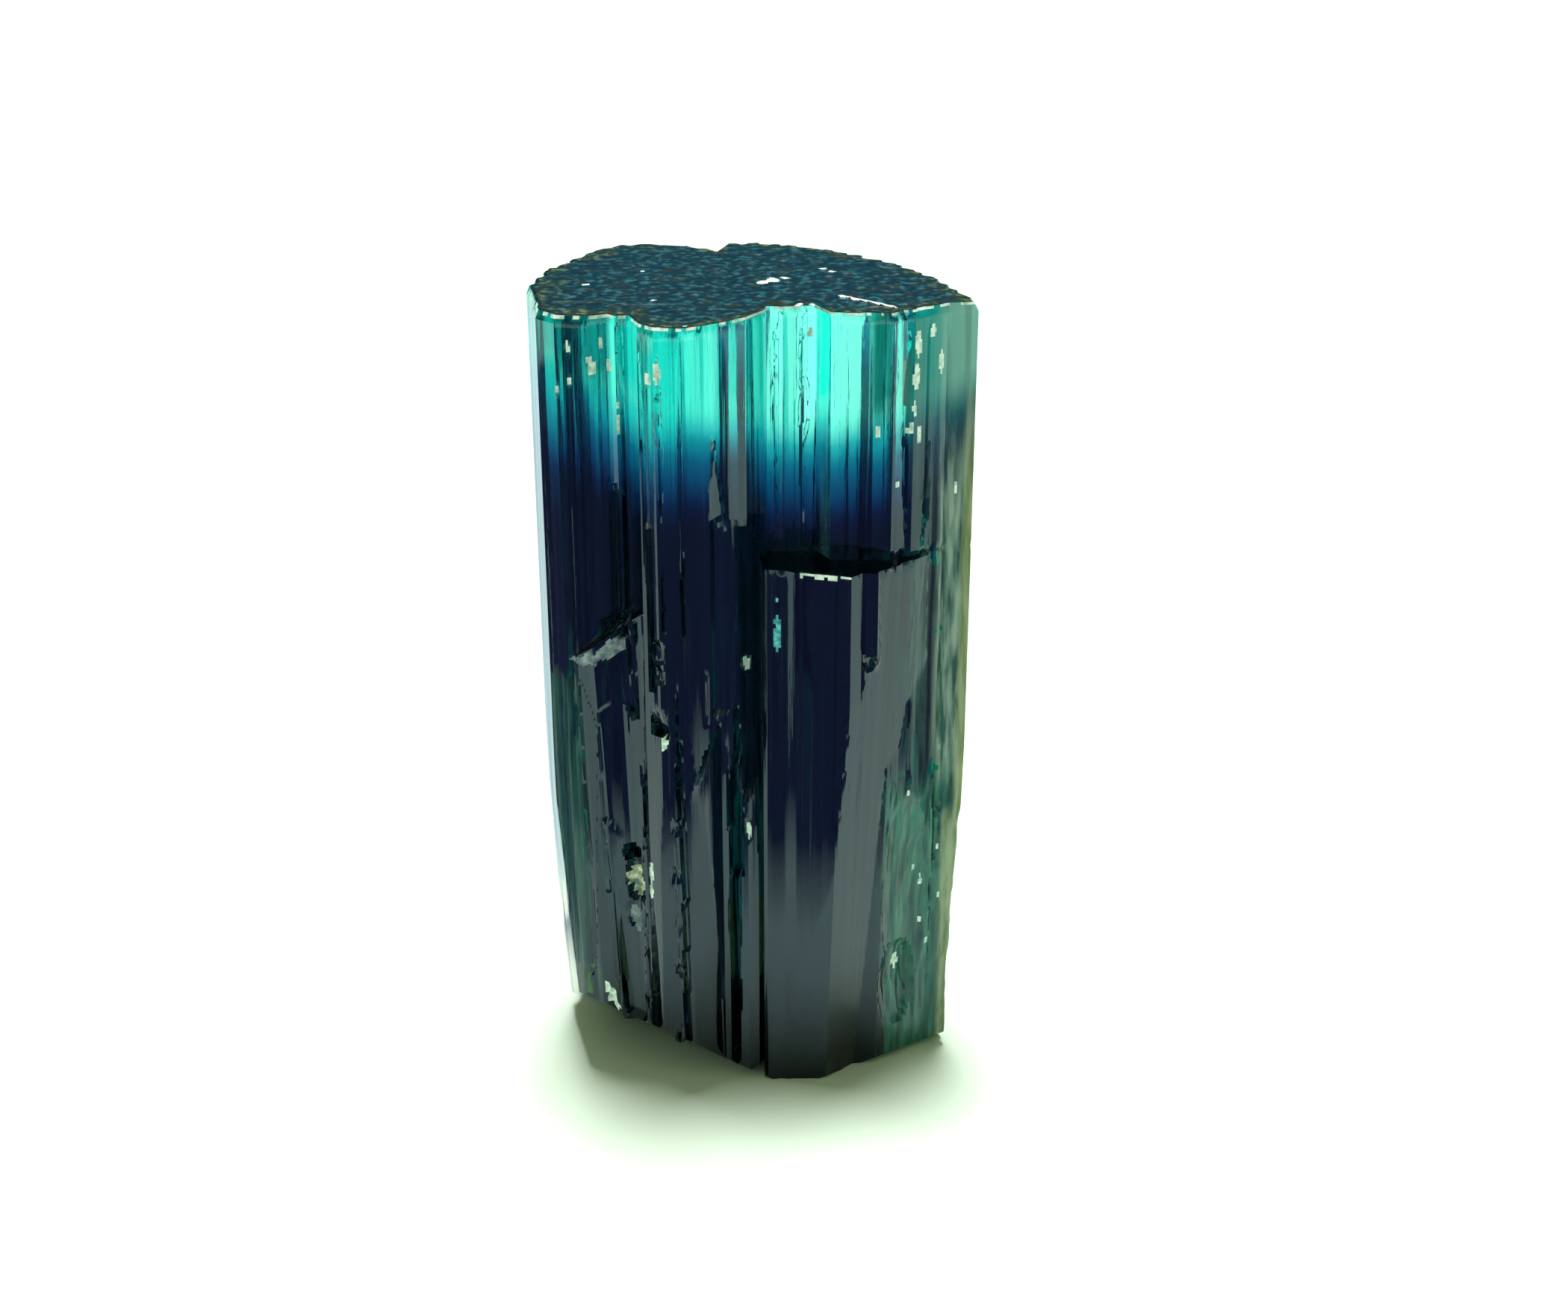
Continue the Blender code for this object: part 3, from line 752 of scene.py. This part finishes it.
def build_skin():
    """Base rings, wall rows and top rings in one grid, row by row upwards, with a pole point at each end."""
    wall = stacked(*spot(wall_r), wall_z)
    base = ring_points(wall_r[0], underside, np.linspace(0, 1, BASE_RINGS + 1)[1:-1] ** BASE_RING_POWER)
    shares = np.linspace(1, 0, TOP_RINGS + 1)[1:-1] ** TOP_RING_POWER
    top = ring_points(wall_r[-1], lambda x, y: TOP_FIELD + top_relief(x, y), shares)
    rows = np.concatenate([base, wall, top])
    count, columns = rows.shape[:2]
    pole_z = TOP_FIELD + top_relief(CORE[:1], CORE[1:])[0]
    poles = np.array([(CORE[0], CORE[1], 0.0), (CORE[0], CORE[1], pole_z)])
    points = np.concatenate([rows.reshape(-1, 3), poles])
    first = np.arange(columns)
    last = first + (count - 1) * columns
    base_fan = np.stack([np.roll(first, -1), first, np.full(columns, len(points) - 2)], axis=-1)
    top_fan = np.stack([last, np.roll(last, -1), np.full(columns, len(points) - 1)], axis=-1)
    rim = np.zeros((count, columns))
    rim[-len(shares) :] = shares[:, None]
    on_top = np.concatenate([rim.reshape(-1), (0.0, 0.01)])
    x, y, z = points.T
    # White marks on the walls and the top: bruises, and painted glints among them.
    wall_bruise_and_glint = bruise_and_glint_amount(x, z, [*FRONT_BRUISES_AND_GLINTS, *LEDGE_BRUISES], 81) * (y < -1.0)
    wall_bruise_and_glint = np.maximum(wall_bruise_and_glint, rim_frost(x, y, z))
    top_places = [(px, py, half, half) for px, py, half in TOP_BRUISES_AND_GLINTS]
    top_bruise_and_glint = bruise_and_glint_amount(x, y, top_places + CRACK_PAINTED_GLINTS, 82)
    step = BASE_RINGS - 1 + LOWER_ROWS
    step_points = slice(step * columns, (step + STEP_ROWS) * columns)
    wall_bruise_and_glint[step_points] = np.where(x[step_points] < DULL_TO_X, STEP_DULLNESS, 0.0)
    bruise_and_glint = np.where(on_top > 0, top_bruise_and_glint, wall_bruise_and_glint)
    placed = (points + (AXIS_X, AXIS_Y, 0.0)) * MM
    placed = np.clip(placed, np.array(node_low), np.array(node_high))
    faces = [grid_faces(count, columns, True), base_fan, top_fan]
    made = mesh_object("tourmaline_skin", placed, faces)
    for name, values in (("bruise_and_glint", bruise_and_glint), ("on_top", on_top)):
        made.data.attributes.new(name, "FLOAT", "POINT").data.foreach_set("value", values)
    # Faces of dull skin take the fibrous material, whose pale green is partly painted glow; bruised faces and painted
    # glints take the crushed one.
    rind_glow = rind_glow_amount(x, y, z) * (on_top <= 0)
    bruised_and_glinting, dull = over_faces(np.mean, bruise_and_glint, faces) > BRUISED, over_faces(np.mean, rind_glow, faces) > 0.5
    index = np.select([bruised_and_glinting, dull, over_faces(np.min, on_top, faces) > 0], [1, 2, 3], 0)
    made.data.polygons.foreach_set("material_index", index.astype(np.int32))
    return made


skin = build_skin()
skin.data.shade_smooth()
skin.data.set_sharp_from_angle(angle=SHARP_ANGLE)
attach(skin, "root")
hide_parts("tourmaline_crystal")
print("skin triangles:", sum(len(face.vertices) - 2 for face in skin.data.polygons))

# %% [markdown]
# ## Colours and nodes
# Colours are written as the hex values that one reads off a screen, and turned linear by one function, because the
# renderer adds and multiplies light. One helper adds a shader node with its settings and its links.


# %% Colour and node helpers
def linear(hex_colour):
    """sRGB hex to linear: c / 12.92 below 0.04045, otherwise ((c + 0.055) / 1.055) to the power 2.4."""
    parts = [int(hex_colour[i : i + 2], 16) / 255 for i in (1, 3, 5)]
    return (*[c / 12.92 if c <= 0.04045 else ((c + 0.055) / 1.055) ** 2.4 for c in parts], 1.0)


def set_inputs(tree, node, inputs):
    """Gives each named input its value, or a link from the socket listed for it."""
    for key, value in inputs.items():
        if isinstance(value, bpy.types.NodeSocket):
            tree.links.new(value, node.inputs[key])
        else:
            node.inputs[key].default_value = value


def add_node(tree, kind, inputs=None, output=0, **settings):
    """Adds the node "ShaderNode" + kind, with its inputs and its own properties, and gives back one output of it."""
    made = tree.nodes.new("ShaderNode" + kind)
    for key, value in settings.items():
        setattr(made, key, value)
    set_inputs(tree, made, inputs or {})
    return made.outputs[output]


def new_material(name, finish):
    """A new material: finish is given a function that adds nodes, and returns the inputs of the shader by name."""
    material = bpy.data.materials.new(name)
    material.use_nodes = True
    tree = material.node_tree
    inputs = finish(functools.partial(add_node, tree))
    if "Volume" in inputs:
        tree.links.new(inputs.pop("Volume"), tree.nodes["Material Output"].inputs["Volume"])
    set_inputs(tree, tree.nodes["Principled BSDF"], inputs)
    return material


# %% [markdown]
# ## Tourmaline
# Elbaite tourmaline, as it grew: glassy faces with an index of refraction near 1.63. The clear stone takes away red
# light fast and blue a little faster than green, so thick parts turn teal. The iron-rich body is so dark that a
# surface tint does the rest: it lets light in the teal band through and holds it back below. The change from teal
# through blue to indigo follows a zone that dips to the back and rises towards both sides.

# %% Crystal material
STONE_IOR = 1.63
STONE_ABSORPTION = {"Color": (0.48, 0.935, 0.94, 1.0), "Density": 200.0}
# Dark stone under a glassy face leaves the reflection a little bluer.
GLOSS = {"IOR": STONE_IOR, "Specular Tint": linear("#cfe6ff")}
TOP_COLOURS = ((0.36, "#040a10"), (0.52, "#0b1e26"), (0.66, "#2a5a64"))
RIM_COLOURS = ((0.34, "#0a1612"), (0.52, "#232e16"), (0.68, "#666c30"))
# Regions of crushed stone with painted light as their colours, dark, middle and light: a painted reflection on the
# break over the blade, painted light coming through the cyan patch, and painted reflections inside the pit.
PIT = (("X", -4.95, -4.85), ("X", -4.1, -4.16))
PAINTED_LIGHT_ON_POWDER = (
    ((("X", -4.35, -4.45), ("Z", 17.6, 17.8), ("Z", 20.4, 20.2)), ("#44525e", "#667783", "#8496a1")),
    ((("X", 0.8, 0.85), ("X", 1.5, 1.45), ("Z", 18.2, 18.4), ("Z", 21.9, 21.7)), ("#0c6474", "#16a0b0", "#58ccd0")),
    ((*PIT, ("Z", 7.9, 8.1), ("Z", 10.5, 10.3)), ("#54787c", "#b2b88e", "#eef2e6")),
    ((*PIT, ("Z", 6.2, 6.4), ("Z", 7.9, 7.8)), ("#4c5f66", "#667b80", "#82969a")),
)
# Height of the colour change: a + b x + c x squared + d y, in mm.
ZONE = (24.25, -0.1, 0.03, -0.26)
ZONE_WANDER = 1.1
ZONE_SOFT = (-1.8, 3.4)
# Noise drawn out upwards: size across and up in mm, and detail.
ZONE_STREAKS = (0.8, 5.0, 4.0)
BAND_STREAKS = (0.42, 14.0, 3.0)
CLOUD_STREAKS = (0.24, 2.4, 4.0)
DULL_STREAKS = (0.12, 8.0, 2.0)
RULING_STREAKS = (0.11, 3.0, 3.0)
RIND_STREAKS = (0.16, 4.0, 4.0)
ZONE_COLOURS = (
    (0.0, "#0b0a15"), (0.16, "#0a1030"), (0.3, "#062e58"), (0.52, "#085078"), (0.78, "#1a98ac"),
    (1.0, "#7fe4da"),
)
# Across the band from left to right, in mm from the axis.
# The teal is the stone's own tint; the lighter and darker stripes across it are painted light, the brightness with
# which each face lets light through.
BAND_COLOURS = (
    (-8.4, "#4ca49c"), (-7, "#0a7a7e"), (-4.95, "#0c868a"), (-4.8, "#a4ece2"), (-4.62, "#a4ece2"),
    (-4.5, "#089a98"), (-4.2, "#08b8b4"), (-2.2, "#38d8d4"), (-0.6, "#b8fcfa"), (0.1, "#2aa8a4"),
    (0.65, "#2aa8a4"), (0.85, "#b8fcf8"), (4.6, "#b2f8f4"), (4.75, "#04605c"), (5.3, "#04605c"),
    (5.42, "#b0f4ea"), (5.85, "#90e0d6"), (6, "#00ccc4"), (6.9, "#08ccc4"), (7.4, "#a0f0e8"),
    (8.4, "#b8fff4"),
)
# Regions: limits along an axis, faded in from one number to the other, two colours, and True if it spans the band.
REGIONS = (
    # The first six paint the glow of light coming through the thin edges and corners over the stone's own green.
    ((("X", -6.2, -6.6), ("Z", 18.2, 17.2)), ("#053832", "#1a6450")),
    ((("X", 7, 7.5),), ("#4a7c70", "#d0ecdc")),
    ((("X", 5, 5.9), ("Z", 13.8, 11.6)), ("#105040", "#3c9c80")),
    ((("X", 8.05, 8.3),), ("#9cb46a", "#d4e0b4")),
    ((("X", 7.6, 7.85), ("Z", 11.5, 10.5)), ("#8ca860", "#d4e4b8")),
    ((("X", -5.85, -6.2), ("Z", 5.2, 4.6)), ("#1a280c", "#6c7a1c")),
    ((("X", 6.1, 6.3), ("X", 7, 6.9), ("Z", 11, 13)), ("#16302e", "#4a7068")),
    ((("X", -1.32, -1.24), ("X", 0.2, 0.1), ("Z", 27.9, 26.4)), ("#0b0a15", "#0b1426"), True),
)


def add_mm_axes(add):
    """Object coordinates in mm from the growth axis: a vector, and its three parts."""
    place = add("TexCoord", output="Object")
    mm = add("Mapping", {"Vector": place, "Scale": 3 * (1 / MM,), "Location": (-AXIS_X, -AXIS_Y, 0.0)})
    return mm, add("SeparateXYZ", {"Vector": mm}).node.outputs


def add_streaks(add, mm, across, up, detail):
    """Noise drawn out upwards: its size across and up in mm."""
    drawn = add("Mapping", {"Vector": mm, "Scale": (1 / across, 1 / across, 1 / up)})
    return add("TexNoise", {"Vector": drawn, "Scale": 1.0, "Detail": detail})


def fill_ramp(output, stops, low=0.0, high=1.0):
    """Puts the stops on a colour ramp, with positions from low to high brought to 0 to 1."""
    stops, ramp = list(stops), output.node.color_ramp
    while len(ramp.elements) < len(stops):
        ramp.elements.new(0.5)
    for element, (position, colour) in zip(ramp.elements, stops):
        element.position = (position - low) / (high - low)
        element.color = linear(colour)
    return output


def add_region(add, axes, limits):
    """A mask: the product of one smooth step for each limit."""
    mask = None
    for axis, start, end in limits:
        settings = {"Value": axes[axis], "From Min": start, "From Max": end}
        step = add("MapRange", settings, interpolation_type="SMOOTHSTEP")
        if mask is not None:
            step = add("Math", {0: mask, 1: step}, operation="MULTIPLY")
        mask = step
    return mask


def add_zone(add, mm, axes):
    """0 in the body to 1 in the band: height above the zone, with streaks that make its edge wander."""
    base, tilt, bow, dip = ZONE
    curve = add("Math", {0: axes["X"], 1: bow, 2: tilt}, operation="MULTIPLY_ADD")
    level = add("Math", {0: axes["X"], 1: curve, 2: base}, operation="MULTIPLY_ADD")
    level = add("Math", {0: axes["Y"], 1: dip, 2: level}, operation="MULTIPLY_ADD")
    above = add("Math", {0: axes["Z"], 1: level}, operation="SUBTRACT")
    wander = add_streaks(add, mm, *ZONE_STREAKS)
    above = add("Math", {0: wander, 1: ZONE_WANDER, 2: above}, operation="MULTIPLY_ADD")
    low, high = (limit + ZONE_WANDER / 2 for limit in ZONE_SOFT)
    return add("MapRange", {"Value": above, "From Min": low, "From Max": high})


def stone_colour(add, mm, axes):
    """Body, zone and band colours, then the regions over them."""
    zone = add_zone(add, mm, axes)
    body = fill_ramp(add("ValToRGB", {"Fac": zone}), ZONE_COLOURS)
    across = add("MapRange", {"Value": axes["X"], "From Min": -LEFT_REACH, "From Max": RIGHT_REACH})
    band = fill_ramp(add("ValToRGB", {"Fac": across}), BAND_COLOURS, -LEFT_REACH, RIGHT_REACH)
    lines = add_streaks(add, mm, *BAND_STREAKS)
    shade = add("MapRange", {"Value": lines, "From Min": 0.4, "From Max": 0.52, "To Min": 0.72, "To Max": 1.0})
    band = add("VectorMath", {0: band, "Scale": shade}, operation="SCALE")
    in_band = add("MapRange", {"Value": zone, "From Min": 0.68, "From Max": 1.0})
    colour = add("Mix", {0: in_band, 6: body, 7: band}, data_type="RGBA", output=2)
    cloud = add_streaks(add, mm, *CLOUD_STREAKS)
    below = add("Math", {0: 1.0, 1: zone}, operation="SUBTRACT")
    for limits, paints, *everywhere in REGIONS:
        mask = add_region(add, axes, limits)
        if not everywhere:
            mask = add("Math", {0: mask, 1: below}, operation="MULTIPLY")
        paint = fill_ramp(add("ValToRGB", {"Fac": cloud}), zip((0.36, 0.62), paints))
        colour = add("Mix", {0: mask, 6: colour, 7: paint}, data_type="RGBA", output=2)
    return colour


def stone_inputs(add, place, pattern, roughness, transmission, bump, bump_mm):
    """What clear and fibrous stone share: colour, IOR, tint, bumps from the pattern, and absorption all through."""
    return GLOSS | {
        "Base Color": stone_colour(add, *place),
        "Roughness": roughness,
        "Transmission Weight": transmission,
        "Volume": add("VolumeAbsorption", STONE_ABSORPTION),
        "Normal": add("Bump", {"Height": pattern, "Strength": bump, "Distance": bump_mm * MM}),
    }


def tourmaline_as_grown(add):
    """Stone as it grew: plain transmission, duller at bruises and painted glints, at the torn corner and along some
    fibres.
    """
    mm, axes = add_mm_axes(add)
    bruise_and_glint = add("Attribute", attribute_name="bruise_and_glint", output="Fac")
    torn_right = add_region(add, axes, (("X", 5.1, 5.9), ("Z", 13.6, 11.6)))
    rough = add("Math", {0: bruise_and_glint, 1: 0.4, 2: 0.03}, operation="MULTIPLY_ADD")
    rough = add("Math", {0: torn_right, 1: 0.3, 2: rough}, operation="MULTIPLY_ADD")
    fibres = add_streaks(add, mm, *DULL_STREAKS)
    dull = add("MapRange", {"Value": fibres, "From Min": 0.6, "From Max": 0.68, "To Min": 0.0, "To Max": 0.22})
    rough = add("Math", {0: rough, 1: dull}, operation="ADD")
    ruling = add_streaks(add, mm, *RULING_STREAKS)
    return stone_inputs(add, (mm, axes), ruling, rough, transmission=1.0, bump=0.15, bump_mm=0.02)


def crushed_tourmaline_and_glints(add):
    """Pale powder for bruises and painted glints; greyer on the break over the blade, a painted reflection; cyan
    where light comes through, painted; straw, white and blue-grey painted reflections in the pit.
    """
    mm, axes = add_mm_axes(add)
    grain = add("TexNoise", {"Vector": mm, "Scale": 4.0, "Detail": 3.0})
    colour = fill_ramp(add("ValToRGB", {"Fac": grain}), ((0.35, "#9cc4be"), (0.6, "#f0fcf8")))
    for limits, paints in PAINTED_LIGHT_ON_POWDER:
        mask = add_region(add, axes, limits)
        paint = fill_ramp(add("ValToRGB", {"Fac": grain}), zip((0.35, 0.5, 0.62), paints))
        colour = add("Mix", {0: mask, 6: colour, 7: paint}, data_type="RGBA", output=2)
    return {"Base Color": colour, "Roughness": 0.45, "IOR": STONE_IOR}


def fibrous_tourmaline_painted_glow(add):
    """Dull fibrous tourmaline: half clear, half scattering, ruled upwards like the faces beside it. What it scatters
    is partly painted glow, the light coming through the thin edges.
    """
    mm, axes = add_mm_axes(add)
    fibres = add_streaks(add, mm, *RIND_STREAKS)
    return stone_inputs(add, (mm, axes), fibres, 0.2, transmission=0.55, bump=0.4, bump_mm=0.04)


def tourmaline_end_face(add):
    """The flat end: dark blue stone behind a hillocky face, speckled teal, and olive where the rim is near."""
    mm, _ = add_mm_axes(add)
    speckle = add("TexNoise", {"Vector": mm, "Scale": 3.0, "Detail": 4.0})
    dark = fill_ramp(add("ValToRGB", {"Fac": speckle}), TOP_COLOURS)
    olive = fill_ramp(add("ValToRGB", {"Fac": speckle}), RIM_COLOURS)
    rim = add("Attribute", attribute_name="on_top", output="Fac")
    patches = add("TexNoise", {"Vector": mm, "Scale": 0.7, "Detail": 3.0})
    near = add("Math", {0: patches, 1: 0.5, 2: rim}, operation="MULTIPLY_ADD")
    near = add("MapRange", {"Value": near, "From Min": 1.08, "From Max": 1.26})
    colour = add("Mix", {0: near, 6: dark, 7: olive}, data_type="RGBA", output=2)
    bump = add("Bump", {"Height": speckle, "Strength": 0.4, "Distance": 0.06 * MM})
    return GLOSS | {"Base Color": colour, "Roughness": 0.16, "Normal": bump}


for finish in (tourmaline_as_grown, crushed_tourmaline_and_glints, fibrous_tourmaline_painted_glow, tourmaline_end_face):
    skin.data.materials.append(new_material(finish.__name__, finish))
print("materials:", [material.name for material in skin.data.materials])

# %% [markdown]
# ## Studio
# A pale table, soft light all round and a large soft light overhead. A photographer hangs dark cards, called flags,
# where they show only as dark reflections. Ours lie in front and behind, and only reflections see them.

# %% Table, lights and flags
FLOOR_SIZE = 2.4
FLOOR_COLOUR = "#e1f4e3"
FLAG_COLOUR = "#343567"
STRIP_COLOUR = "#b4ccd6"
DRUM_COLOUR = "#105874"
DRUM_RADIUS = 0.42
DRUM_HEIGHTS = (0.05, 0.21)
DRUM_COLUMNS = 64
FAN_COLUMNS = 49
# Each fan's height and faded width in mm, darkness at its edges, and colour, then its course: angle in degrees, and
# inner and outer radius in mm.
FANS = {
    "strip": (0.3, 4.0, 1.0, STRIP_COLOUR, ((100, 16, 170), (138, 11, 170))),
    "front": (0.4, 8.0, 0.0, FLAG_COLOUR, (
        (-124, 22, 170), (-112, 20, 170), (-108, 17, 170), (-90, 16, 170), (-58, 19, 170), (-50, 28, 170),
        (-45, 32, 170), (-38, 31, 170), (-33, 20, 150), (-29, 20, 150),
    )),
    "right": (0.4, 2.0, 0.0, FLAG_COLOUR, ((-29, 23, 110), (-25, 23, 110), (-23, 23, 62), (-14, 24, 62))),
    "left": (0.4, 4.0, 0.0, FLAG_COLOUR, ((147, 9, 110), (187, 9, 110))),
    "back": (0.4, 6.0, 0.0, FLAG_COLOUR, ((76, 26, 150), (104, 26, 150))),
}


def add_flag(name, points, faces, colour, darkness):
    """A card that only reflections see; it fades to the table's colour where its darkness is 0."""
    flag = mesh_object(name, points.reshape(-1, 3), faces)
    flag.data.attributes.new("darkness", "FLOAT", "POINT").data.foreach_set("value", darkness)

    def faded(add):
        fade = add("Attribute", attribute_name="darkness", output="Fac")
        mixed = add("Mix", {0: fade, 6: linear(FLOOR_COLOUR), 7: linear(colour)}, data_type="RGBA", output=2)
        return {"Base Color": mixed, "Roughness": 1.0}

    flag.data.materials.append(new_material(name, faded))
    for ray in ("camera", "diffuse", "transmission", "volume_scatter", "shadow"):
        setattr(flag, "visible_" + ray, False)


def fan_points(height, fade, course):
    """A flat fan over the table, between an inner and an outer radius that change with the angle."""
    angle, inner, outer = np.array(course).T
    fine = np.linspace(angle[0], angle[-1], FAN_COLUMNS)
    inner, outer = np.interp(fine, angle, inner), np.interp(fine, angle, outer)
    rows = np.stack([inner, inner + fade, outer - fade, outer])
    turned = np.radians(fine)
    return stacked(rows * np.cos(turned), rows * np.sin(turned), height) * MM


floor_grid = np.linspace(-FLOOR_SIZE / 2, FLOOR_SIZE / 2, 5)
floor_points = stacked(*np.meshgrid(floor_grid, floor_grid), 0.0).reshape(-1, 3)
floor = mesh_object("floor", floor_points, [grid_faces(5, 5, False)])
table_inputs = {"Base Color": linear(FLOOR_COLOUR), "Roughness": 0.7}
floor.data.materials.append(new_material("pale_table", lambda add: table_inputs))
for name, (height, fade, edge, colour, course) in FANS.items():
    darkness = np.repeat((edge, 1.0, 1.0, edge), FAN_COLUMNS)
    faces = [grid_faces(4, FAN_COLUMNS, False)]
    add_flag(name + "_flag", fan_points(height, fade, course), faces, colour, darkness)
# An upright drum stands round the table: a circle at its lower and at its upper height.
angle = np.linspace(0, 2 * math.pi, DRUM_COLUMNS, endpoint=False)
drum = stacked(DRUM_RADIUS * np.cos(angle), DRUM_RADIUS * np.sin(angle), np.array(DRUM_HEIGHTS)[:, None])
add_flag("drum_flag", drum, [grid_faces(2, DRUM_COLUMNS, True)], DRUM_COLOUR, np.ones(2 * DRUM_COLUMNS))

# %% Lights
OVERHEAD_POWER = 18.8
OVERHEAD_SIZE = 0.31
OVERHEAD_PLACE = (-0.02, 0.138, 1.1)
WORLD_STRENGTH = 0.32
WORLD_COLOUR = "#f4ffd0"

lamp = bpy.data.lights.new("overhead", "AREA")
lamp.shape = "DISK"
lamp.size = OVERHEAD_SIZE
lamp.energy = OVERHEAD_POWER
overhead = new_object("overhead", lamp)
overhead.location = OVERHEAD_PLACE
# A lamp shines down its own -z: it is tipped by its angle from the vertical and turned to face the crystal.
x, y, z = OVERHEAD_PLACE
overhead.rotation_euler = (math.atan2(math.hypot(x, y), z), 0.0, math.atan2(y, x) + math.pi / 2)
world = bpy.data.worlds.new("soft_room")
world.use_nodes = True
background = world.node_tree.nodes["Background"]
background.inputs["Color"].default_value = linear(WORLD_COLOUR)
background.inputs["Strength"].default_value = WORLD_STRENGTH
bpy.context.scene.world = world
bpy.context.scene.view_settings.view_transform = "Standard"
